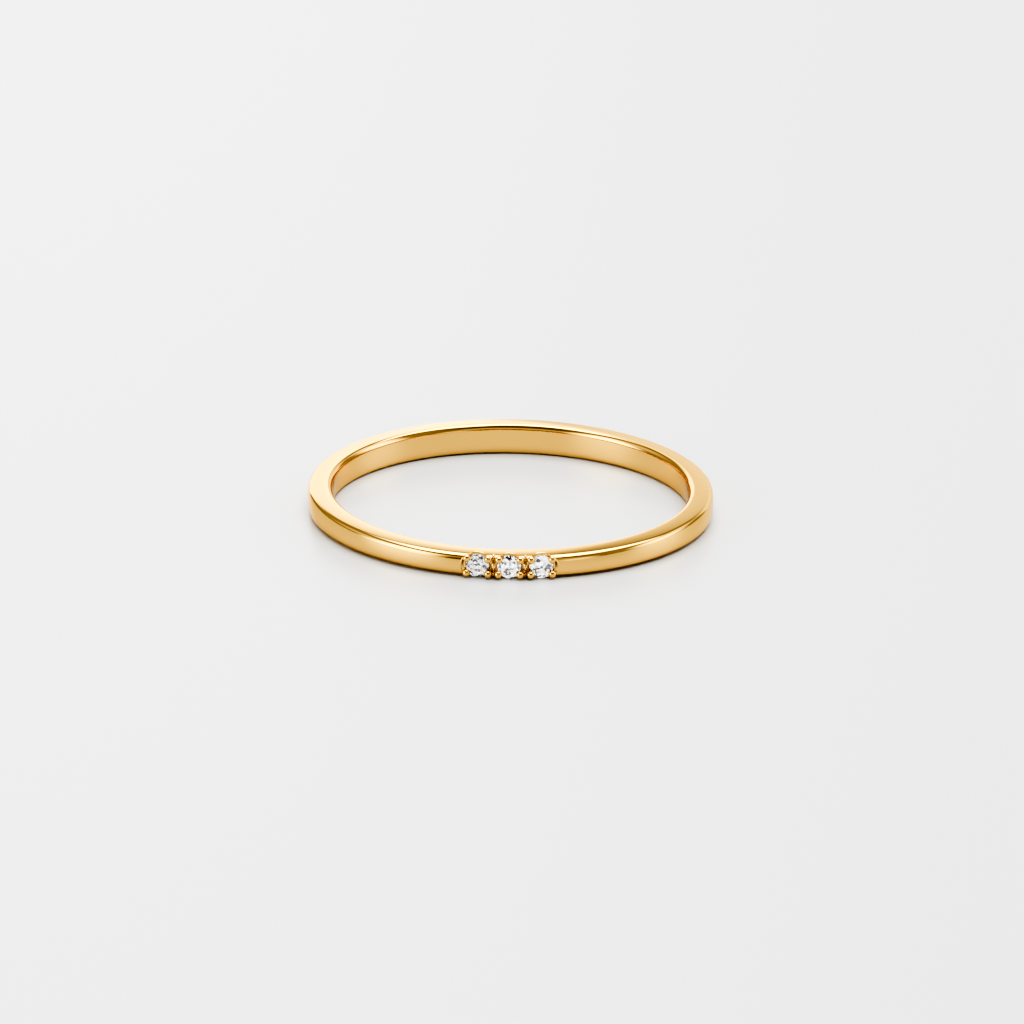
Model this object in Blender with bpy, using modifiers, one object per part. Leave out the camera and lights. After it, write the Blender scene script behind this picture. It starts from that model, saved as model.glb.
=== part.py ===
"""A thin stackable ring, lying on its side: a gold band with three small round stones in claws.

Metres, +Z up. The ring's axis is Z, its flat lower side rests on z = 0, and the stones face -Y.
"""

import math

import bmesh
import bpy
from mathutils import Matrix, Vector

MM = 0.001

# Band
INNER_RADIUS = 8.50 * MM
WALL = 1.20 * MM
HEIGHT_BACK = 1.52 * MM
HEIGHT_FRONT = 1.13 * MM
UPPER_OUTER_ROUND = 0.27 * MM
LOWER_OUTER_ROUND = 0.40 * MM
INNER_ROUND = 0.24 * MM
DOME_RADIUS = 2.10 * MM
BAND_STEPS = 80

# Stones
STONE_COUNT = 3
STONE_DIAMETER = 1.12 * MM
STONE_GAP = 0.37 * MM
STONE_SINK = 0.12 * MM
TABLE_DIAMETER = 0.64 * MM
CROWN_HEIGHT = 0.17 * MM
GIRDLE_THICKNESS = 0.03 * MM
PAVILION_DEPTH = 0.48 * MM
STONE_SIDES = 8
LOWER_FACET_SHARE = 0.25

# Seats drilled for the stones: a wide mouth with a bevelled lip, a ledge, and a well for the cup
SEAT_MARGIN = 0.24 * MM
SEAT_DRAFT = 0.12 * MM
SEAT_LIP = 0.07 * MM
SEAT_LEDGE_DEPTH = 0.37 * MM
SEAT_FLOOR_WALL = 0.45 * MM
SEAT_OVERRUN = 0.50 * MM
SEAT_STEPS = 32

# Cups under the stones
CUP_RIM_MARGIN = 0.01 * MM
CUP_RIM_SINK = 0.36 * MM
CUP_WALL = 0.12 * MM
CUP_FLARE = 0.07 * MM
CUP_ROOT = 0.10 * MM
CUP_STEPS = 28

# Claws, four to a stone
CLAW_TURN = math.radians(36.4)
CLAW_BALL_RADIUS = 0.16 * MM
CLAW_WIRE_RADIUS = 0.115 * MM
CLAW_OUTSET = 0.065 * MM
CLAW_LEAN = 0.10 * MM
CLAW_RISE = 0.11 * MM
CLAW_STEPS = 12

# Beads on the webs between neighbouring seats
BEAD_RADIUS = 0.10 * MM
BEAD_INSET = 0.13 * MM
BEAD_DROP = 0.09 * MM

# Edges that turn by more than this are shaded sharp
SHARP_ANGLE = math.radians(32)

# Clearances
STONE_CLEARANCE = 0.03 * MM
CUP_CLEARANCE = 0.03 * MM
FLOOR_CLEARANCE = 0.02 * MM
MERGE_DISTANCE = 0.0001 * MM

# Relations
OUTER_RADIUS = INNER_RADIUS + WALL
HEIGHT_MIDDLE = (HEIGHT_BACK + HEIGHT_FRONT) / 2
HEIGHT_TAPER = (HEIGHT_BACK - HEIGHT_FRONT) / (HEIGHT_BACK + HEIGHT_FRONT)
STONE_RADIUS = STONE_DIAMETER / 2
GIRDLE_REACH = OUTER_RADIUS - STONE_SINK
STONE_ANGLE = 2 * math.asin((STONE_DIAMETER + STONE_GAP) / 2 / GIRDLE_REACH)
SEAT_FLOOR_REACH = INNER_RADIUS + SEAT_FLOOR_WALL
SEAT_LEDGE_REACH = OUTER_RADIUS - SEAT_LEDGE_DEPTH
CUP_RIM_RADIUS = STONE_RADIUS + CUP_RIM_MARGIN
CUP_RIM_REACH = GIRDLE_REACH - CUP_RIM_SINK
STONE_LEVEL = CUP_RIM_RADIUS + FLOOR_CLEARANCE
CLAW_OFFSET = STONE_RADIUS + CLAW_OUTSET
CLAW_BALL_REACH = GIRDLE_REACH + CLAW_RISE


def new_collection(name):
    """A collection linked to the scene."""
    collection = bpy.data.collections.new(name)
    bpy.context.scene.collection.children.link(collection)
    return collection


def new_object(name, mesh, collection):
    """An object for the mesh, in the collection."""
    piece = bpy.data.objects.new(name, mesh)
    collection.objects.link(piece)
    return piece


def metal(name, colour, roughness):
    """A polished metal."""
    material = bpy.data.materials.new(name)
    material.use_nodes = True
    shader = material.node_tree.nodes["Principled BSDF"]
    shader.inputs["Base Color"].default_value = (*colour, 1)
    shader.inputs["Metallic"].default_value = 1
    shader.inputs["Roughness"].default_value = roughness
    return material


def clear_stone(name, colour, refraction):
    """A clear cut stone."""
    material = bpy.data.materials.new(name)
    material.use_nodes = True
    shader = material.node_tree.nodes["Principled BSDF"]
    shader.inputs["Base Color"].default_value = (*colour, 1)
    shader.inputs["Roughness"].default_value = 0
    shader.inputs["Transmission Weight"].default_value = 1
    shader.inputs["IOR"].default_value = refraction
    return material


def arc(centre, radius, start, end, steps):
    """Points on an arc from start to end, in degrees from the first axis towards the second."""
    angles = [math.radians(start + (end - start) * i / steps) for i in range(steps + 1)]
    return [(centre[0] + radius * math.cos(a), centre[1] + radius * math.sin(a)) for a in angles]


def arc_point(centre, radius, angle):
    """The point at an angle in degrees on a circle."""
    return arc(centre, radius, angle, angle, 1)[0]


def turned(name, profile, steps, collection):
    """An object that turns the profile of (radius, height) points about Z with a Screw modifier.

    The profile runs down its outer side. It is closed into a ring unless it starts on the axis.
    """
    closed = profile[0][0] > 0
    count = len(profile)
    edges = [(i, (i + 1) % count) for i in range(count if closed else count - 1)]
    mesh = bpy.data.meshes.new(name)
    mesh.from_pydata([(radius, 0, height) for radius, height in profile], edges, [])
    piece = new_object(name, mesh, collection)
    screw = piece.modifiers.new("turn", "SCREW")
    screw.axis = "Z"
    screw.angle = math.tau
    screw.steps = screw.render_steps = steps
    screw.use_merge_vertices = True
    screw.merge_threshold = MERGE_DISTANCE
    screw.use_smooth_shade = True
    return piece


def as_guide(piece):
    """Marks a cutter or a piece to be joined, which shows as wire and isn't rendered."""
    piece.hide_render = True
    piece.display_type = "WIRE"
    return piece


def facing(index):
    """The place of a stone's axis: local Z out of the ring and local Y up, at the stones' level."""
    turn = (index - (STONE_COUNT - 1) / 2) * STONE_ANGLE
    outward = Vector((math.sin(turn), -math.cos(turn), 0))
    along = Vector((math.cos(turn), math.sin(turn), 0))
    axes = Matrix((along, Vector((0, 0, 1)), outward)).transposed().to_4x4()
    return Matrix.Translation((0, 0, STONE_LEVEL)) @ axes


def band_section():
    """The band's section, from the top down the slightly domed outer wall and back up the inner wall."""
    half = HEIGHT_MIDDLE / 2
    dome = (OUTER_RADIUS - DOME_RADIUS, half)
    upper = math.degrees(math.asin((half - UPPER_OUTER_ROUND) / (DOME_RADIUS - UPPER_OUTER_ROUND)))
    lower = math.degrees(math.asin((half - LOWER_OUTER_ROUND) / (DOME_RADIUS - LOWER_OUTER_ROUND)))
    upper_centre = arc_point(dome, DOME_RADIUS - UPPER_OUTER_ROUND, upper)
    lower_centre = arc_point(dome, DOME_RADIUS - LOWER_OUTER_ROUND, -lower)
    inner_low = (INNER_RADIUS + INNER_ROUND, INNER_ROUND)
    inner_high = (INNER_RADIUS + INNER_ROUND, HEIGHT_MIDDLE - INNER_ROUND)
    return [
        *arc(upper_centre, UPPER_OUTER_ROUND, 90, upper, 5),
        *arc(dome, DOME_RADIUS, upper, -lower, 4)[1:-1],
        *arc(lower_centre, LOWER_OUTER_ROUND, -lower, -90, 5),
        *arc(inner_low, INNER_ROUND, 270, 180, 4),
        *arc(inner_high, INNER_ROUND, 180, 90, 4),
    ]


def band_blank(collection):
    """The plain band: the turned section, lower at the front than at the back over a flat lower side."""
    band = turned("band", band_section(), BAND_STEPS, collection)
    taper = band.modifiers.new("taper", "SIMPLE_DEFORM")
    taper.deform_method = "TAPER"
    taper.deform_axis = "Y"
    taper.lock_x = True
    taper.factor = 2 * HEIGHT_TAPER
    return band


def seat_cutter(index, collection):
    """The shape drilled away for one stone, from past the outer wall down to the well's floor."""
    mouth = STONE_RADIUS + SEAT_MARGIN
    well = CUP_RIM_RADIUS + CUP_CLEARANCE
    end = OUTER_RADIUS + SEAT_OVERRUN
    lip = OUTER_RADIUS - SEAT_LIP
    profile = [
        (0, end),
        (mouth + end - lip, end),
        (mouth, lip),
        (mouth - SEAT_DRAFT, SEAT_LEDGE_REACH),
        (well, SEAT_LEDGE_REACH),
        (well, SEAT_FLOOR_REACH),
        (0, SEAT_FLOOR_REACH),
    ]
    cutter = turned("seat_cutter", profile, SEAT_STEPS, collection)
    cutter.matrix_world = facing(index)
    return as_guide(cutter)


def cup(index, collection):
    """The flared cup that carries one stone's claws: a hollow cone rooted in the well's floor."""
    foot = CUP_RIM_RADIUS - CUP_FLARE
    root = SEAT_FLOOR_REACH - CUP_ROOT
    profile = [
        (CUP_RIM_RADIUS, CUP_RIM_REACH),
        (foot, root),
        (foot - CUP_WALL, root),
        (CUP_RIM_RADIUS - CUP_WALL, CUP_RIM_REACH),
    ]
    piece = turned("cup", profile, CUP_STEPS, collection)
    piece.matrix_world = facing(index)
    return as_guide(piece)


def claw(index, turn, collection):
    """One claw: a wire rooted in the cup, leaning outwards, with a ball over the stone's edge."""
    foot_reach = SEAT_FLOOR_REACH - CUP_ROOT / 2
    rise = CLAW_BALL_REACH - foot_reach
    lean = math.atan(CLAW_LEAN / rise)
    length = math.hypot(CLAW_LEAN, rise)
    neck = math.degrees(math.asin(CLAW_WIRE_RADIUS / CLAW_BALL_RADIUS))
    profile = [
        *arc((0, length), CLAW_BALL_RADIUS, 90, neck - 90, 7),
        (CLAW_WIRE_RADIUS, 0),
        (0, 0),
    ]
    profile[0] = (0, length + CLAW_BALL_RADIUS)
    piece = turned("claw", profile, CLAW_STEPS, collection)
    foot = Matrix.Translation((CLAW_OFFSET - CLAW_LEAN, 0, foot_reach))
    upright = facing(index) @ Matrix.Rotation(turn, 4, "Z") @ foot
    piece.matrix_world = upright @ Matrix.Rotation(lean, 4, "Y")
    return as_guide(piece)


def claw_turns():
    """The angles of one stone's claws about its axis: a mirrored pair on each side."""
    return [CLAW_TURN, math.pi - CLAW_TURN, math.pi + CLAW_TURN, -CLAW_TURN]


def bead(index, collection):
    """A small bead on the upper edge of the web between one seat and the next."""
    build = bmesh.new()
    bmesh.ops.create_uvsphere(build, u_segments=10, v_segments=7, radius=BEAD_RADIUS)
    mesh = bpy.data.meshes.new("bead")
    build.to_mesh(mesh)
    build.free()
    piece = new_object("bead", mesh, collection)
    level = HEIGHT_FRONT - BEAD_DROP - STONE_LEVEL
    place = Matrix.Translation((0, level, OUTER_RADIUS - BEAD_INSET))
    piece.matrix_world = facing(index + 0.5) @ place
    return as_guide(piece)


def ring_of_points(radius, height, first, count):
    """Points on a circle about Z, the first at that many half steps."""
    step = math.tau / count
    angles = [(i + first / 2) * step for i in range(count)]
    return [(radius * math.cos(a), radius * math.sin(a), height) for a in angles]


def brilliant_mesh(name, grow=0.0):
    """A round brilliant about Z with its girdle at height 0: the hull of the corners where its facets meet.

    The corners between the kites, and between the pavilion's long facets, lie where the planes of
    two neighbours cross. A grown stone is bigger by that much all round.
    """
    radius = STONE_RADIUS + grow
    table = TABLE_DIAMETER / 2 + grow
    top = CROWN_HEIGHT + grow
    edge = GIRDLE_THICKNESS / 2
    culet = PAVILION_DEPTH + grow
    half_facet = math.cos(math.pi / STONE_SIDES)
    star = (table * half_facet + radius) / 2
    star_height = edge + (radius - star * half_facet) * (top - edge) / (radius - table)
    lower = radius * LOWER_FACET_SHARE
    lower_height = -edge - (radius - lower * half_facet) * (culet - edge) / radius
    corners = [
        *ring_of_points(table, top, 0, STONE_SIDES),
        *ring_of_points(star, star_height, 1, STONE_SIDES),
        *ring_of_points(radius, edge, 0, 2 * STONE_SIDES),
        *ring_of_points(radius, -edge, 0, 2 * STONE_SIDES),
        *ring_of_points(lower, lower_height, 1, STONE_SIDES),
        (0, 0, -culet),
    ]
    build = bmesh.new()
    for corner in corners:
        build.verts.new(corner)
    bmesh.ops.convex_hull(build, input=build.verts)
    bmesh.ops.recalc_face_normals(build, faces=build.faces)
    mesh = bpy.data.meshes.new(name)
    build.to_mesh(mesh)
    build.free()
    return mesh


def place_stone(name, index, mesh, collection):
    """A stone, or its clearance, with its girdle at its place on the ring."""
    stone = new_object(name, mesh, collection)
    stone.matrix_world = facing(index) @ Matrix.Translation((0, 0, GIRDLE_REACH))
    return stone


def combine(band, operation, collection):
    """Joins to the band, or cuts from it, everything in a collection."""
    step = band.modifiers.new(collection.name, "BOOLEAN")
    step.operation = operation
    step.solver = "EXACT"
    step.operand_type = "COLLECTION"
    step.collection = collection


def apply_modifiers(piece):
    """Makes a piece's modifiers its mesh, shaded smooth but for its sharp edges."""
    depsgraph = bpy.context.evaluated_depsgraph_get()
    mesh = bpy.data.meshes.new_from_object(piece.evaluated_get(depsgraph))
    mesh.shade_smooth()
    mesh.set_sharp_from_angle(angle=SHARP_ANGLE)
    piece.modifiers.clear()
    piece.data = mesh


def remove_guides(collection):
    """Removes a collection of guides that the band no longer needs."""
    for piece in list(collection.objects):
        bpy.data.objects.remove(piece)
    bpy.data.collections.remove(collection)


def make_band(parts):
    """The gold: drilled with the seats, joined with the cups and claws, notched for the stones."""
    band = band_blank(parts)
    seats = new_collection("seat_cutters")
    setting = new_collection("cups_and_claws")
    notches = new_collection("stone_clearances")
    clearance = brilliant_mesh("stone_clearance", STONE_CLEARANCE)
    for index in range(STONE_COUNT):
        seat_cutter(index, seats)
        cup(index, setting)
        for turn in claw_turns():
            claw(index, turn, setting)
        as_guide(place_stone("stone_clearance", index, clearance, notches))
    for index in range(STONE_COUNT - 1):
        bead(index, setting)
    combine(band, "DIFFERENCE", seats)
    combine(band, "UNION", setting)
    combine(band, "DIFFERENCE", notches)
    apply_modifiers(band)
    for guides in (seats, setting, notches):
        remove_guides(guides)
    return band


def main():
    """Empties the scene and models the ring."""
    for leftover in list(bpy.data.objects):
        bpy.data.objects.remove(leftover, do_unlink=True)
    parts = new_collection("stackable_ring")
    gold = metal("yellow_gold", (0.83, 0.57, 0.22), 0.12)
    crystal = clear_stone("clear_stone", (0.96, 0.97, 0.98), 2.42)
    band = make_band(parts)
    band.data.materials.append(gold)
    cut = brilliant_mesh("round_brilliant")
    cut.materials.append(crystal)
    for index in range(STONE_COUNT):
        place_stone(f"stone_{index + 1}", index, cut, parts)


main()
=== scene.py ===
"""A thin gold stacking ring with three small claw-set stones, lying on a pale floor."""
import math

import bmesh
import bpy
import numpy as np
from mathutils import Matrix, Vector


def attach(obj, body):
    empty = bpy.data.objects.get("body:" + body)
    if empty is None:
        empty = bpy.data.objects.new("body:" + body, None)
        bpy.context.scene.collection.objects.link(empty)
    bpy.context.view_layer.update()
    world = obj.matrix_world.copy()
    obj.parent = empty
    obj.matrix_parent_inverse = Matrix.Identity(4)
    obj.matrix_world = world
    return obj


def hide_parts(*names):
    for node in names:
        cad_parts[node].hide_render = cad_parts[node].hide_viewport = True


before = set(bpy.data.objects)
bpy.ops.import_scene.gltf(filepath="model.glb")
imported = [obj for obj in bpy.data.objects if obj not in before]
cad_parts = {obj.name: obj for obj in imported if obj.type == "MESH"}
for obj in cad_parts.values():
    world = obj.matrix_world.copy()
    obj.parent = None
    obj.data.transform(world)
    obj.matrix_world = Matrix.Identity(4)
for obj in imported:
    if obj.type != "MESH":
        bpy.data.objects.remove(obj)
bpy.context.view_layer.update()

MM = 0.001

# The camera that fits the photograph, which is 1024 pixels square. It looks at the ring's middle,
# and TARGET_PIXEL is where that point shows in the picture
VIEW_ELEVATION = math.radians(19.074)
VIEW_DISTANCE = 0.388
VIEW_ROLL = 0.0173
FOCAL_PIXELS = 8126.8
IMAGE_SIZE = 1024
SENSOR_WIDTH = 36
CLIP_RANGE = (0.01, 10)
TARGET = Vector((0, 0, 0.66 * MM))
TARGET_PIXEL = (510.522, 498.335)

# The shank's section, which is lower at the front than at the back. Each of its four sides lies on
# a large circle of its own; the lower side is nearly flat
INNER_RADIUS = 8.50 * MM
OUTER_RADIUS = 9.70 * MM
WIDEST_RADIUS = 9.699 * MM
HEIGHT_BACK = 1.52 * MM
HEIGHT_FRONT = 1.13 * MM
HEIGHT_MIDDLE = (HEIGHT_BACK + HEIGHT_FRONT) / 2
HEIGHT_SLOPE = (HEIGHT_BACK - HEIGHT_FRONT) / (HEIGHT_BACK + HEIGHT_FRONT) / WIDEST_RADIUS
UPPER_OUTER_ROUND = 0.24 * MM
LOWER_OUTER_ROUND = 0.40 * MM
LOWER_INNER_ROUND = 0.21 * MM
UPPER_INNER_ROUND = 0.30 * MM
UPPER_INNER_NARROWING = 0.75
DOME_RADIUS = 2.10 * MM
INNER_DOME_RADIUS = 6.00 * MM
UPPER_DOME_RADIUS = 7.00 * MM
UPPER_DOME_CREST = 8.75 * MM
LOWER_SIDE_RADIUS = 200 * MM
SIDE_POINTS = 12
SHANK_STEPS = 576
WELD = 0.0001 * MM
SHARP_ANGLE = math.radians(28)

# A corner of a face is on the uncut wall where it lies this near the section and the face's normal
# agrees this well, as a cosine, with the section's own
WALL_TOLERANCE = 2e-6
WALL_AGREEMENT = 0.93

# Stones, seats and settings. A reach is a distance from the ring's axis, measured along the stone's
# own axis; a span is in degrees to either side
STONE_COUNT = 3
STONE_PITCH = 1.49 * MM
GIRDLE_REACH = 9.58 * MM
STONE_LEVEL = 0.59 * MM
STONE_ANGLE = 2 * math.asin(STONE_PITCH / 2 / GIRDLE_REACH)
SEAT_RADIUS = 0.80 * MM
SEAT_SQUEEZE = 0.86
SEAT_DRAFT = 0.12 * MM
SEAT_LIP = 0.075 * MM
SEAT_LIP_START = 95
SEAT_LIP_POINTS = 9
SEAT_WALL_POINTS = 4
CUTTER_RISE = 6 * SEAT_LIP
CUTTER_FLARE = 1.4 * SEAT_LIP
SEAT_LEDGE_REACH = 9.43 * MM
SEAT_FLOOR_REACH = 8.95 * MM
WELL_RADIUS = 0.60 * MM
SEAT_STEPS = 128
CUP_RIM_RADIUS = 0.57 * MM
CUP_RIM_REACH = 9.22 * MM
CUP_FOOT_RADIUS = 0.50 * MM
CUP_FOOT_REACH = 8.85 * MM
CUP_WALL = 0.12 * MM
CUP_RIM_POINTS = 13
CUP_STEPS = 96
CLAW_TURNS = tuple(math.radians(angle) for angle in (36.4, 143.6, 214.5, 325.5))
CLAW_BALL_RADIUS = 0.186 * MM
CLAW_WIRE_RADIUS = 0.115 * MM
CLAW_OFFSET = 0.622 * MM
CLAW_LEAN = 0.10 * MM
CLAW_REACH = 9.69 * MM
CLAW_FOOT_REACH = 8.90 * MM
CLAW_FOOT_SHARE = 0.1
CLAW_BALL_POINTS = 22
CLAW_STEPS = 32
BROW_OFFSET = 0.665 * MM
BROW_REACH = 9.60 * MM
BROW_RADIUS = 0.055 * MM
BROW_SPAN = 50
END_RIM_RADIUS = 0.040 * MM
END_RIM_REACH = 9.655 * MM
END_RIM_SPAN = 52
RIM_RINGS = 47
RIM_STEPS = 16
BOSS_POINTS = 17
BOSS_STEPS = 24

# Cast bosses between the stones: (height, reach, half width, half height, half depth)
BOSSES = (
    (1.04 * MM, 9.51 * MM, 0.090 * MM, 0.13 * MM, 0.13 * MM),
    (0.57 * MM, 9.48 * MM, 0.125 * MM, 0.25 * MM, 0.16 * MM),
    (0.17 * MM, 9.46 * MM, 0.105 * MM, 0.15 * MM, 0.15 * MM),
)

# The studio: soft panels as (turn from the back towards the right, elevation, roll, half width,
# half height, soft edge across, soft edge up, brightness), all but the last in degrees
PANELS = (
    (20, 80, 0, 29, 28, 6, 6, 9.0),
    (-116, 8, -25, 19, 20, 12, 10, 6.0),
    (-89, 30, -7, 22, 11, 20, 9, 1.0),
    (86, 16, -40, 13, 20, 9, 10, 4.5),
    (143, -1, 0, 10, 6, 7, 5, 2.2),
    (-14.4, 13, 0, 14, 15, 1.0, 7, 4.0),
    (20, 12, 0, 20, 14, 3, 8, 1.8),
    (59, 35, 0, 14, 8, 10, 6, 2.0),
    (180, 18, 0, 36, 8, 14, 6, 0.75),
)
ROOM_LIGHT = 0.45
FRONT_DIMMING = 0.28
FRONT_FADE = (25, 65)
FLOOR_DROP = 0.01 * MM
FLOOR_SIZE = 1.5

# Finishes. A span is the part of a pattern's 0 to 1 that is stretched to the range of its name, and
# GLOSS_SPAN serves the cast gold too
GOLD = (0.77, 0.498, 0.097)
GOLD_EDGE = (0.96, 0.85, 0.60, 1)
# The cast gold: its rougher gloss is the cast finish, and its greener, paler colour is painted shade for
# the olive look of the seats, cups and bosses
CAST_GOLD_AND_PAINTED_SHADE = (0.76, 0.555, 0.16)
CAST_GLOSS_RANGE = (0.15, 0.25)
CAST_DEPTH = 0.002 * MM
GOLD_DRIFT_SIZE = 4 * MM
GOLD_SHADES = (0.97, 1.03)
GLOSS_SIZE = 1.1 * MM
GLOSS_SPAN = (0.35, 0.65)
GLOSS_RANGE = (0.038, 0.062)
POLISH_SIZE = 0.17 * MM
POLISH_DEPTH = 0.0004 * MM
STONE_IOR = 2.42
# Painted dark reflections on the stones: patches whose colour is darkened, standing in for the dark
# images of the facets
PAINTED_DARK_REFLECTION_SPAN = (0.30, 0.45)
PAINTED_DARK_REFLECTION_RANGE = (0.005, 1.0)
STONE_GLOSS_SPAN = (0.4, 0.8)
STONE_GLOSS_RANGE = (0.0, 0.03)
# Painted glints on the stones: the size of the glowing patches, which the gloss haze shares, and how
# strongly they glow
PAINTED_GLINT_AND_HAZE_SIZE = 0.12 * MM
PAINTED_GLINT_SPAN = (0.48, 0.62)
PAINTED_GLINT_RANGE = (0.0, 0.55)
FLOOR_COLOUR = (0.49, 0.49, 0.49)
FLOOR_ROUGHNESS = 0.34
FLOOR_IOR = 1.6
PICTURE_GAMMA = 0.7


def add_camera():
    """The photograph's camera, which looks along +Y and down at the ring."""
    lens = bpy.data.cameras.new("camera")
    lens.sensor_width = SENSOR_WIDTH
    lens.lens = FOCAL_PIXELS / IMAGE_SIZE * lens.sensor_width
    lens.shift_x = (IMAGE_SIZE / 2 - TARGET_PIXEL[0]) / IMAGE_SIZE
    lens.shift_y = (TARGET_PIXEL[1] - IMAGE_SIZE / 2) / IMAGE_SIZE
    lens.clip_start, lens.clip_end = CLIP_RANGE
    camera = bpy.data.objects.new("camera", lens)
    bpy.context.scene.collection.objects.link(camera)
    back = Vector((0, -math.cos(VIEW_ELEVATION), math.sin(VIEW_ELEVATION)))
    turn = (-back).to_track_quat("-Z", "Y").to_matrix().to_4x4()
    stand = Matrix.Translation(TARGET + back * VIEW_DISTANCE)
    camera.matrix_world = stand @ turn @ Matrix.Rotation(VIEW_ROLL, 4, "Z")
    bpy.context.scene.camera = camera


def arc(centre, radius, start, end, count):
    """Points on an arc: the centre plus the radius at even angles from start to end, in degrees."""
    angle = np.radians(np.linspace(start, end, count))
    return np.stack([centre[0] + radius * np.cos(angle), centre[1] + radius * np.sin(angle)], axis=1)


def stretch(start, end, count):
    """Points spread evenly between two points, both left out."""
    share = np.linspace(0, 1, count + 2)[1:-1, None]
    return np.array(start) * (1 - share) + np.array(end) * share


def nested_circle(first, second, radius, towards):
    """Where the centre of a circle lies that touches two larger ones from within: on both, each drawn
    in by its radius, at the crossing that lies further towards a direction."""
    (one, one_radius), (other, other_radius) = first, second
    gap = other - one
    apart = math.hypot(*gap)
    reach = one_radius - radius
    along = (reach ** 2 - (other_radius - radius) ** 2 + apart ** 2) / (2 * apart)
    aside = math.sqrt(reach ** 2 - along ** 2) * np.array((-gap[1], gap[0])) / apart
    crossings = [one + gap * along / apart + side for side in (aside, -aside)]
    return max(crossings, key=lambda crossing: crossing @ np.array(towards))


def shank_section():
    """The closed section as (radius, height) points: four sides, each an arc of its own large circle,
    and between them four rounds that touch the sides on either hand from within. A round may then be
    narrowed towards the wall that it starts from, which makes it an ellipse's quarter."""
    half = HEIGHT_MIDDLE / 2
    middle = (INNER_RADIUS + OUTER_RADIUS) / 2
    sides = (
        (np.array((OUTER_RADIUS - DOME_RADIUS, half)), DOME_RADIUS),
        (np.array((middle, LOWER_SIDE_RADIUS)), LOWER_SIDE_RADIUS),
        (np.array((INNER_RADIUS + INNER_DOME_RADIUS, half)), INNER_DOME_RADIUS),
        (np.array((UPPER_DOME_CREST, HEIGHT_MIDDLE - UPPER_DOME_RADIUS)), UPPER_DOME_RADIUS),
    )
    # Each round's radius, the corner it lies towards, its number of points and its narrowing
    rounds = (
        (LOWER_OUTER_ROUND, (1, -1), 12, 1),
        (LOWER_INNER_ROUND, (-1, -1), 10, 1),
        (UPPER_INNER_ROUND, (-1, 1), 20, UPPER_INNER_NARROWING),
        (UPPER_OUTER_ROUND, (1, 1), 16, 1),
    )
    centres, angles = [], []
    for i, (radius, towards, _, _) in enumerate(rounds):
        before, after = sides[i], sides[(i + 1) % 4]
        centre = nested_circle(before, after, radius, towards)
        centres.append(centre)
        angles += [math.atan2(*(centre - side[0])[::-1]) for side in (before, after)]
    angles = np.degrees(np.unwrap(np.array(angles[-1:] + angles)))
    parts = []
    for i, (radius, _, count, narrowing) in enumerate(rounds):
        start, leave, meet = angles[2 * i:2 * i + 3]
        parts.append(arc(*sides[i], start, leave, SIDE_POINTS + 2)[1:-1])
        curve = arc(centres[i], radius, leave, meet, count)
        curve[:, 0] = curve[0, 0] + (curve[:, 0] - curve[0, 0]) * narrowing
        parts.append(curve)
    return np.concatenate(parts)


def shank_point(radius, height, turn):
    """Where a section's point lies at a turn about the ring: on its circle, with its height scaled by
    the line that falls from the back to the front."""
    y = -radius * np.cos(turn)
    return np.stack([radius * np.sin(turn), y, height * (1 + HEIGHT_SLOPE * y)], axis=-1)


def round_faces(around, along, closed):
    """The cells of a grid that comes round in its first parameter, and in its second if closed."""
    i = np.arange(around)[:, None]
    j = np.arange(along if closed else along - 1)[None, :]
    after = (i + 1) % around
    right = (j + 1) % along
    corners = [i * along + j, i * along + right, after * along + right, after * along + j]
    return np.stack(corners, axis=-1).reshape(-1, 4)


def mesh_of(name, points, faces):
    """A mesh of the points and faces, shaded smooth."""
    mesh = bpy.data.meshes.new(name)
    mesh.from_pydata(points.reshape(-1, 3).tolist(), [], [list(face) for face in faces])
    mesh.validate()
    mesh.shade_smooth()
    return mesh


def put(name, mesh):
    """An object at the origin for a mesh that holds its own place."""
    piece = bpy.data.objects.new(name, mesh)
    bpy.context.scene.collection.objects.link(piece)
    return piece


def facing(index, level=STONE_LEVEL):
    """A stone's axes: local Z out of the ring, Y up and X along it, at the stones' level. A half
    index stands for the place between two stones."""
    turn = (index - (STONE_COUNT - 1) / 2) * STONE_ANGLE
    outward = Vector((math.sin(turn), -math.cos(turn), 0))
    along = Vector((math.cos(turn), math.sin(turn), 0))
    axes = Matrix((along, Vector((0, 0, 1)), outward)).transposed().to_4x4()
    return Matrix.Translation((0, 0, level)) @ axes


def lathe(profile, steps, place):
    """Points and faces of a profile of (radius, height) points turned about local Z: each point goes
    round its circle, and a first or last point on the axis becomes one pole."""
    profile = np.array(profile)
    start, end = profile[0, 0] == 0, profile[-1, 0] == 0
    rim = profile[int(start):len(profile) - int(end)]
    turn = np.arange(steps)[:, None] * math.tau / steps
    radius, height = rim[None, :, 0], rim[None, :, 1]
    circles = [radius * np.cos(turn), radius * np.sin(turn), height + 0 * turn]
    points = np.stack(circles, axis=-1).reshape(-1, 3)
    along = len(rim)
    faces = round_faces(steps, along, not (start or end)).tolist()
    i = np.arange(steps)
    after = (i + 1) % steps
    if start:
        faces += np.stack([i * along, after * along, 0 * i + len(points)], axis=1).tolist()
        points = np.vstack([points, (0, 0, profile[0, 1])])
    if end:
        last = along - 1
        faces += np.stack([i * along + last, 0 * i + len(points), after * along + last], axis=1).tolist()
        points = np.vstack([points, (0, 0, profile[-1, 1])])
    turned = np.array(place.to_3x3())
    return points @ turned.T + np.array(place.translation), faces


def gather(shapes):
    """Several (points, faces) as one."""
    points, faces, count = [], [], 0
    for some_points, some_faces in shapes:
        points.append(some_points)
        faces += [[corner + count for corner in face] for face in some_faces]
        count += len(some_points)
    return np.vstack(points), faces


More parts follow.
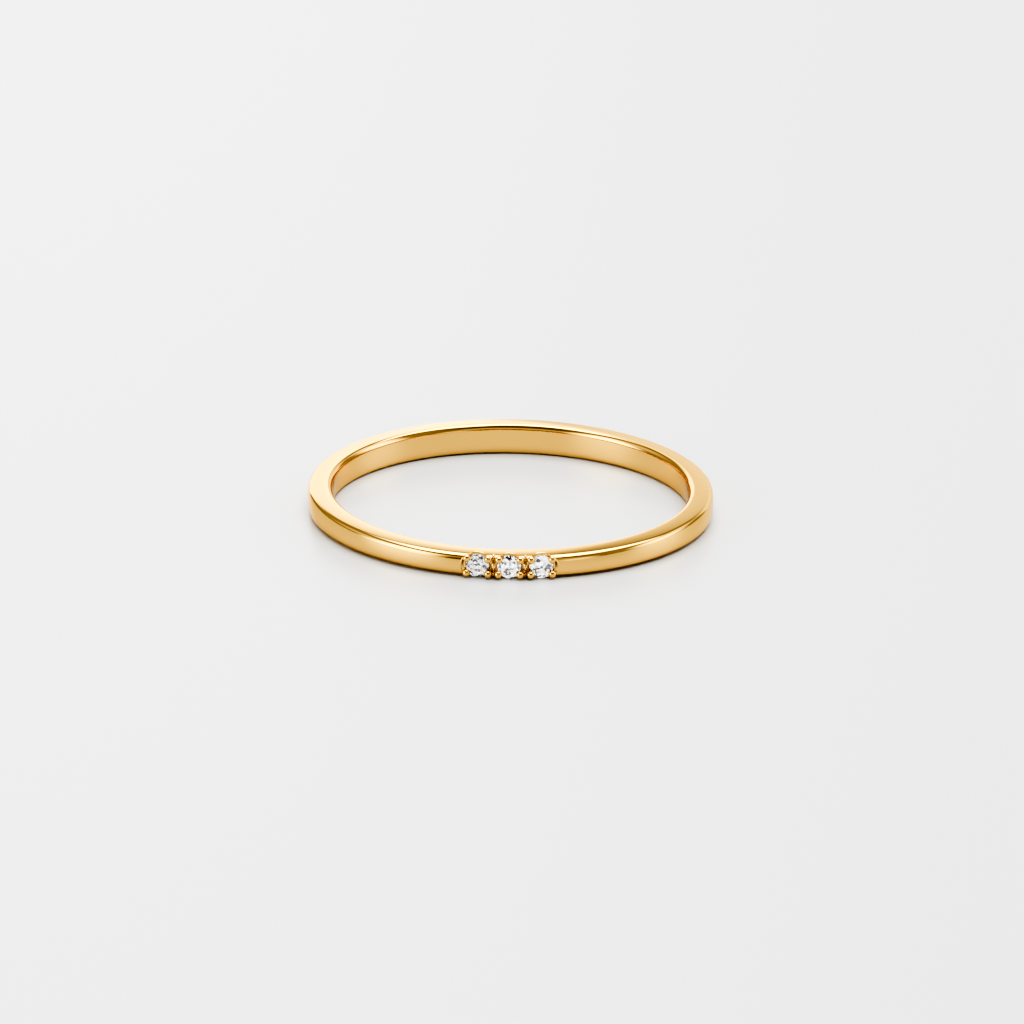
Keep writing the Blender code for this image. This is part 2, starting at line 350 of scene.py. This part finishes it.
def seat_cutter(index):
    """What one seat takes away, turned about the stone's axis from past the outer wall and squeezed
    in height: a quarter round that breaks the lip, a tapering mouth, a ledge, and the well."""
    centre = (SEAT_RADIUS + SEAT_LIP, OUTER_RADIUS - SEAT_LIP)
    lip = arc(centre, SEAT_LIP, SEAT_LIP_START, 180, SEAT_LIP_POINTS)
    top = OUTER_RADIUS + CUTTER_RISE
    ledge = (SEAT_RADIUS - SEAT_DRAFT, SEAT_LEDGE_REACH)
    profile = np.concatenate([
        [(0, top), (SEAT_RADIUS + CUTTER_FLARE, top)],
        lip,
        stretch(lip[-1], ledge, SEAT_WALL_POINTS),
        [ledge, (WELL_RADIUS, SEAT_LEDGE_REACH)],
        [(WELL_RADIUS, SEAT_FLOOR_REACH), (0, SEAT_FLOOR_REACH)],
    ])
    return lathe(profile, SEAT_STEPS, facing(index) @ Matrix.Diagonal((1, SEAT_SQUEEZE, 1, 1)))


def shank_normals(points):
    """The true normals of the uncut shank at points near it: the cross product of its two tangents
    there, along the section and round the ring. Also how far each point lies off the section."""
    section = shank_section()
    following = np.roll(section, -1, axis=0)
    edge = following - section
    length = np.hypot(edge[:, 0], edge[:, 1])
    tangent = edge / length[:, None]
    corner = tangent + np.roll(tangent, 1, axis=0)
    corner /= np.hypot(corner[:, 0], corner[:, 1])[:, None]
    radius = np.hypot(points[:, 0], points[:, 1])
    stretch_here = 1 + HEIGHT_SLOPE * points[:, 1]
    spot = np.stack([radius, points[:, 2] / stretch_here], axis=1)
    best = np.full(len(points), np.inf)
    slope = np.zeros((len(points), 2))
    for i in range(len(section)):
        share = np.clip((spot - section[i]) @ edge[i] / length[i] ** 2, 0, 1)
        off = np.hypot(*(spot - section[i] - share[:, None] * edge[i]).T)
        nearer = off < best
        best[nearer] = off[nearer]
        blend = corner[i] * (1 - share[:, None]) + corner[(i + 1) % len(section)] * share[:, None]
        slope[nearer] = blend[nearer]
    sine, cosine = points[:, 0] / radius, -points[:, 1] / radius
    rise = slope[:, 1] * stretch_here - spot[:, 1] * HEIGHT_SLOPE * slope[:, 0] * cosine
    along = np.stack([slope[:, 0] * sine, -slope[:, 0] * cosine, rise], axis=1)
    around = np.stack([cosine, sine, spot[:, 1] * HEIGHT_SLOPE * sine], axis=1)
    normal = np.cross(along, around)
    return normal / np.linalg.norm(normal, axis=1)[:, None], best


def add_shank(metal, cast_painted_shade):
    """The band with its three seats cut out: polished and shaded with its true normals, but with the
    cast finish in the seats, whose greener, paler tint is painted shade."""
    section = shank_section()
    turn = np.arange(SHANK_STEPS)[:, None] * math.tau / SHANK_STEPS
    points = shank_point(section[:, 0], section[:, 1], turn)
    shank = put("shank", mesh_of("shank", points, round_faces(SHANK_STEPS, len(section), True)))
    cutters = [put("cutter", mesh_of("cutter", *seat_cutter(index))) for index in range(STONE_COUNT)]
    for cutter in cutters:
        cut = shank.modifiers.new("seat", "BOOLEAN")
        cut.operation = "DIFFERENCE"
        cut.solver = "EXACT"
        cut.object = cutter
    evaluated = shank.evaluated_get(bpy.context.evaluated_depsgraph_get())
    mesh = bpy.data.meshes.new_from_object(evaluated)
    shank.modifiers.clear()
    shank.data = mesh
    for cutter in cutters:
        bpy.data.objects.remove(cutter)
    shell = bmesh.new()
    shell.from_mesh(mesh)
    bmesh.ops.remove_doubles(shell, verts=shell.verts, dist=WELD)
    shell.to_mesh(mesh)
    shell.free()
    mesh.shade_smooth()
    mesh.set_sharp_from_angle(angle=SHARP_ANGLE)
    spots = np.empty(len(mesh.vertices) * 3, dtype=np.float32)
    mesh.vertices.foreach_get("co", spots)
    true, off = shank_normals(spots.reshape(-1, 3).astype(float))
    corner_vertex = np.empty(len(mesh.loops), dtype=np.int32)
    mesh.loops.foreach_get("vertex_index", corner_vertex)
    counts = np.empty(len(mesh.polygons), dtype=np.int32)
    mesh.polygons.foreach_get("loop_total", counts)
    face_normal = np.empty(len(mesh.polygons) * 3, dtype=np.float32)
    mesh.polygons.foreach_get("normal", face_normal)
    face_normal = np.repeat(face_normal.reshape(-1, 3), counts, axis=0)
    normals = true[corner_vertex]
    agreement = (normals * face_normal).sum(axis=1)
    on_wall = (off[corner_vertex] < WALL_TOLERANCE) & (agreement > WALL_AGREEMENT)
    normals[~on_wall] = 0
    mesh.normals_split_custom_set(normals.tolist())
    # Seat faces take the cast gold, whose tint is painted shade
    in_seat = np.logical_or.reduceat(~on_wall, np.cumsum(counts) - counts)
    for finish in (metal, cast_painted_shade):
        mesh.materials.append(finish)
    mesh.polygons.foreach_set("material_index", in_seat.astype(np.int32))
    return shank


def cup(index):
    """A stone's cup: a hollow cone with a round rim, turned about the stone's axis."""
    edge = CUP_WALL / 2
    rim = arc((CUP_RIM_RADIUS - edge, CUP_RIM_REACH - edge), edge, 0, 180, CUP_RIM_POINTS)
    profile = np.concatenate([
        [(CUP_FOOT_RADIUS - CUP_WALL, CUP_FOOT_REACH), (CUP_FOOT_RADIUS, CUP_FOOT_REACH)],
        rim,
    ])[::-1]
    return lathe(profile, CUP_STEPS, facing(index))


def claw(index, turn):
    """A claw, turned about its own leaning axis: a wire that necks into a ball."""
    rise = CLAW_REACH - CLAW_FOOT_REACH
    length = math.hypot(CLAW_LEAN, rise)
    neck = math.degrees(math.asin(CLAW_WIRE_RADIUS / CLAW_BALL_RADIUS))
    ball = arc((0, length), CLAW_BALL_RADIUS, 90, neck - 90, CLAW_BALL_POINTS)
    ball[0, 0] = 0
    wire = [(CLAW_WIRE_RADIUS, CLAW_FOOT_SHARE * length), (CLAW_WIRE_RADIUS, 0), (0, 0)]
    profile = np.concatenate([ball, wire])
    foot = Matrix.Translation((CLAW_OFFSET - CLAW_LEAN, 0, CLAW_FOOT_REACH))
    upright = facing(index) @ Matrix.Rotation(turn, 4, "Z") @ foot
    lean = Matrix.Rotation(math.atan(CLAW_LEAN / rise), 4, "Y")
    return lathe(profile, CLAW_STEPS, upright @ lean)


def rim(index, middle, wide, high, reach, radius, span):
    """A thin raised rim beside a seat: a round wire along an arc of an ellipse about the stone's axis,
    with a radius that follows a half ellipse, so that it closes to a point at both ends."""
    share = np.linspace(-1, 1, RIM_RINGS + 2)[1:-1]
    turn = np.radians(middle + span * share)[:, None]
    around = np.arange(RIM_STEPS)[None, :] * math.tau / RIM_STEPS
    thick = radius * np.sqrt(1 - share ** 2)[:, None]
    outward = np.stack([high * np.cos(turn), wide * np.sin(turn)])
    outward /= np.hypot(*outward)
    ring = np.stack([
        wide * np.cos(turn) + outward[0] * thick * np.cos(around),
        high * np.sin(turn) + outward[1] * thick * np.cos(around),
        reach + thick * np.sin(around),
    ], axis=-1)
    faces = round_faces(RIM_RINGS, RIM_STEPS, True)[:-RIM_STEPS].tolist()
    ends = np.radians([middle - span, middle + span])
    tips = np.stack([wide * np.cos(ends), high * np.sin(ends), 0 * ends + reach], axis=-1)
    count = RIM_RINGS * RIM_STEPS
    i = np.arange(RIM_STEPS)
    after = (i + 1) % RIM_STEPS
    last = count - RIM_STEPS
    faces += np.stack([after, i, 0 * i + count], axis=1).tolist()
    faces += np.stack([last + i, last + after, 0 * i + count + 1], axis=1).tolist()
    points = np.vstack([ring.reshape(-1, 3), tips])
    place = facing(index)
    return points @ np.array(place.to_3x3()).T + np.array(place.translation), faces


def boss(between, level, reach, wide, high, deep):
    """A cast boss between two stones: a half circle turned about the axis, then stretched."""
    profile = arc((0, 0), 1, 90, -90, BOSS_POINTS)
    profile[[0, -1], 0] = 0
    centre = facing(between, level) @ Matrix.Translation((0, 0, reach))
    return lathe(profile, BOSS_STEPS, centre @ Matrix.Diagonal((wide, high, deep, 1)))


def add_settings(metal, cast_painted_shade):
    """The polished claws and raised rims, and the cups and bosses as cast, in a tint that is painted
    shade.
    """
    last = STONE_COUNT - 1
    stones = range(STONE_COUNT)
    brow = (BROW_OFFSET, BROW_OFFSET, BROW_REACH, BROW_RADIUS, BROW_SPAN)
    end_rim = (SEAT_RADIUS, SEAT_RADIUS * SEAT_SQUEEZE, END_RIM_REACH, END_RIM_RADIUS, END_RIM_SPAN)
    rims = [rim(index, 90, *brow) for index in stones]
    rims += [rim(0, 180, *end_rim), rim(last, 0, *end_rim)]
    shapes = {
        "cups": (cast_painted_shade, [cup(index) for index in stones]),
        "claws": (metal, [claw(index, turn) for index in stones for turn in CLAW_TURNS]),
        "seat_rims": (metal, rims),
        "bosses": (cast_painted_shade, [boss(index + 0.5, *sizes) for index in range(last) for sizes in BOSSES]),
    }
    settings = []
    for name, (finish, parts) in shapes.items():
        settings.append(put(name, mesh_of(name, *gather(parts))))
        settings[-1].data.materials.append(finish)
    return settings


def plain_material(name, colour, roughness, metallic=0.0):
    """A Principled material of one colour and gloss, and its shader."""
    material = bpy.data.materials.new(name)
    material.use_nodes = True
    shader = material.node_tree.nodes["Principled BSDF"]
    shader.inputs["Base Color"].default_value = (*colour, 1)
    shader.inputs["Roughness"].default_value = roughness
    shader.inputs["Metallic"].default_value = metallic
    return material, shader


class Maths:
    """Makes maths and pattern nodes in a node tree and joins them up."""

    def __init__(self, tree):
        self.tree = tree

    def node(self, kind, **settings):
        """A new node with these settings."""
        node = self.tree.nodes.new(kind)
        for name, value in settings.items():
            setattr(node, name, value)
        return node

    def feed(self, socket, value):
        """Links another node's output to the socket, or sets the socket to a constant."""
        if isinstance(value, bpy.types.NodeSocket):
            self.tree.links.new(value, socket)
        else:
            socket.default_value = value

    def do(self, operation, *values):
        """The result of one maths operation on the values."""
        node = self.node("ShaderNodeMath", operation=operation)
        for socket, value in zip(node.inputs, values):
            self.feed(socket, value)
        return node.outputs[0]

    def spread(self, value, start, end, low, high, kind="LINEAR"):
        """The value, with start to end brought to low to high, and held at both ends."""
        node = self.node("ShaderNodeMapRange", interpolation_type=kind)
        numbers = {"Value": value, "From Min": start, "From Max": end, "To Min": low, "To Max": high}
        for name, number in numbers.items():
            self.feed(node.inputs[name], number)
        return node.outputs[0]

    def fade(self, value, start, end):
        """1 below the start, 0 above the end, eased between."""
        return self.spread(value, start, end, 1, 0, "SMOOTHSTEP")

    def noise(self, place, size, detail):
        """A soft random pattern with features of about this size."""
        node = self.node("ShaderNodeTexNoise")
        for name, number in (("Vector", place), ("Scale", 1 / size), ("Detail", detail)):
            self.feed(node.inputs[name], number)
        return node.outputs[0]


def gold(name, colour, gloss_range, polish_depth):
    """Gold whose colour drifts a little and whose gloss varies, with fine marks of its finishing."""
    material, shader = plain_material(name, colour, sum(gloss_range) / 2, 1.0)
    shader.inputs["Specular Tint"].default_value = GOLD_EDGE
    maths = Maths(material.node_tree)
    place = maths.node("ShaderNodeTexCoord").outputs["Object"]
    drift = maths.node("ShaderNodeMix", data_type="RGBA")
    maths.feed(drift.inputs[0], maths.noise(place, GOLD_DRIFT_SIZE, 2))
    darker, lighter, mixed = drift.inputs[6], drift.inputs[7], drift.outputs[2]
    for socket, shade in zip((darker, lighter), GOLD_SHADES):
        socket.default_value = (*(shade * part for part in colour), 1)
    maths.feed(shader.inputs["Base Color"], mixed)
    gloss = maths.spread(maths.noise(place, GLOSS_SIZE, 3), *GLOSS_SPAN, *gloss_range)
    maths.feed(shader.inputs["Roughness"], gloss)
    bump = maths.node("ShaderNodeBump")
    maths.feed(bump.inputs["Height"], maths.noise(place, POLISH_SIZE, 2))
    bump.inputs["Distance"].default_value = polish_depth
    maths.feed(shader.inputs["Normal"], bump.outputs[0])
    return material


def diamond():
    """A clear cut stone with painted light: small patches of its colour are darkened as painted dark
    reflections of the facets in each other, others glow a little as painted glints, and its gloss varies
    slightly."""
    material, shader = plain_material("clear_stone", (1, 1, 1), 0.0)
    shader.inputs["Transmission Weight"].default_value = 1
    shader.inputs["IOR"].default_value = STONE_IOR
    # The white glow of the painted glints
    shader.inputs["Emission Color"].default_value = (1, 1, 1, 1)
    maths = Maths(material.node_tree)
    place = maths.node("ShaderNodeTexCoord").outputs["Object"]
    painted_light_cells = maths.node("ShaderNodeTexVoronoi")
    maths.feed(painted_light_cells.inputs["Vector"], place)
    painted_light_cells.inputs["Scale"].default_value = 1 / PAINTED_GLINT_AND_HAZE_SIZE
    split = maths.node("ShaderNodeSeparateColor")
    maths.feed(split.inputs[0], painted_light_cells.outputs["Color"])
    painted_light_mask = split.outputs[0]
    # Painted glints: patches of the stone glow, though it is no lamp
    painted_glint = maths.spread(painted_light_mask, *PAINTED_GLINT_SPAN, *PAINTED_GLINT_RANGE)
    maths.feed(shader.inputs["Emission Strength"], painted_glint)
    # Painted dark reflections: the stone's colour is darkened in patches
    painted_dark_reflection = maths.node("ShaderNodeCombineColor")
    for socket in painted_dark_reflection.inputs:
        maths.feed(socket, maths.spread(painted_light_mask, *PAINTED_DARK_REFLECTION_SPAN, *PAINTED_DARK_REFLECTION_RANGE))
    maths.feed(shader.inputs["Base Color"], painted_dark_reflection.outputs[0])
    haze = maths.noise(place, PAINTED_GLINT_AND_HAZE_SIZE, 2)
    maths.feed(shader.inputs["Roughness"], maths.spread(haze, *STONE_GLOSS_SPAN, *STONE_GLOSS_RANGE))
    return material


def add_floor():
    """The pale, slightly glossy floor: a square that reaches FLOOR_SIZE each way."""
    corners = ((-1, -1), (1, -1), (1, 1), (-1, 1))
    points = np.array([(x * FLOOR_SIZE, y * FLOOR_SIZE, -FLOOR_DROP) for x, y in corners])
    floor = put("floor", mesh_of("floor", points, [(0, 1, 2, 3)]))
    material, shader = plain_material("floor", FLOOR_COLOUR, FLOOR_ROUGHNESS)
    shader.inputs["IOR"].default_value = FLOOR_IOR
    floor.data.materials.append(material)


def panel_light(maths, direction, turn, rise, roll, wide, high, edge_wide, edge_high, brightness):
    """A soft rectangular panel in the sky: of one brightness inside, faded out over its edges."""
    axes = Matrix.Rotation(-math.radians(turn), 3, "Z") @ Matrix.Rotation(math.radians(rise), 3, "X")
    axes = axes @ Matrix.Rotation(math.radians(roll), 3, "Y")
    right, ahead, up = axes.col[0], axes.col[1], axes.col[2]

    def along(axis):
        """How far the direction points along an axis."""
        node = maths.node("ShaderNodeVectorMath", operation="DOT_PRODUCT")
        maths.feed(node.inputs[0], direction)
        node.inputs[1].default_value = axis
        return node.outputs["Value"]

    def within(axis, half, edge):
        """1 where the direction lies less than the half width off the panel's middle, eased to 0."""
        off = maths.do("ABSOLUTE", maths.do("ARCTAN2", along(axis), depth))
        return maths.fade(off, math.radians(half - edge), math.radians(half + edge))

    depth = along(ahead)
    lit = maths.do("MULTIPLY", within(right, wide, edge_wide), within(up, high, edge_high))
    return maths.do("MULTIPLY", lit, brightness)


def add_studio():
    """The surroundings: a dim room, dimmer still towards the front, and the soft panels."""
    world = bpy.data.worlds.new("studio")
    bpy.context.scene.world = world
    world.use_nodes = True
    tree = world.node_tree
    maths = Maths(tree)
    direction = maths.node("ShaderNodeTexCoord").outputs["Generated"]
    split = maths.node("ShaderNodeSeparateXYZ")
    maths.feed(split.inputs[0], direction)
    off_front = maths.do("ARCTAN2", split.outputs["X"], maths.do("MULTIPLY", split.outputs["Y"], -1))
    front = maths.fade(maths.do("ABSOLUTE", off_front), *map(math.radians, FRONT_FADE))
    total = maths.do("SUBTRACT", ROOM_LIGHT, maths.do("MULTIPLY", front, FRONT_DIMMING))
    for panel in PANELS:
        total = maths.do("ADD", total, panel_light(maths, direction, *panel))
    maths.feed(tree.nodes["Background"].inputs["Strength"], total)
    tree.nodes["Background"].inputs["Color"].default_value = (1, 1, 1, 1)


add_camera()
add_floor()
add_studio()
picture = bpy.context.scene.view_settings
picture.view_transform = "AgX"
picture.look = "AgX - Very High Contrast"
picture.gamma = PICTURE_GAMMA
polished = gold("polished_gold", GOLD, GLOSS_RANGE, POLISH_DEPTH)
# The cast gold, rougher as cast and tinted with painted shade
cast_painted_shade = gold("cast_gold_painted_shade", CAST_GOLD_AND_PAINTED_SHADE, CAST_GLOSS_RANGE, CAST_DEPTH)
pieces = [add_shank(polished, cast_painted_shade)] + add_settings(polished, cast_painted_shade)
stone = diamond()
for index in range(STONE_COUNT):
    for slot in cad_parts[f"stone_{index + 1}"].material_slots:
        slot.material = stone
for piece in pieces:
    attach(piece, "root")
    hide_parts("band")
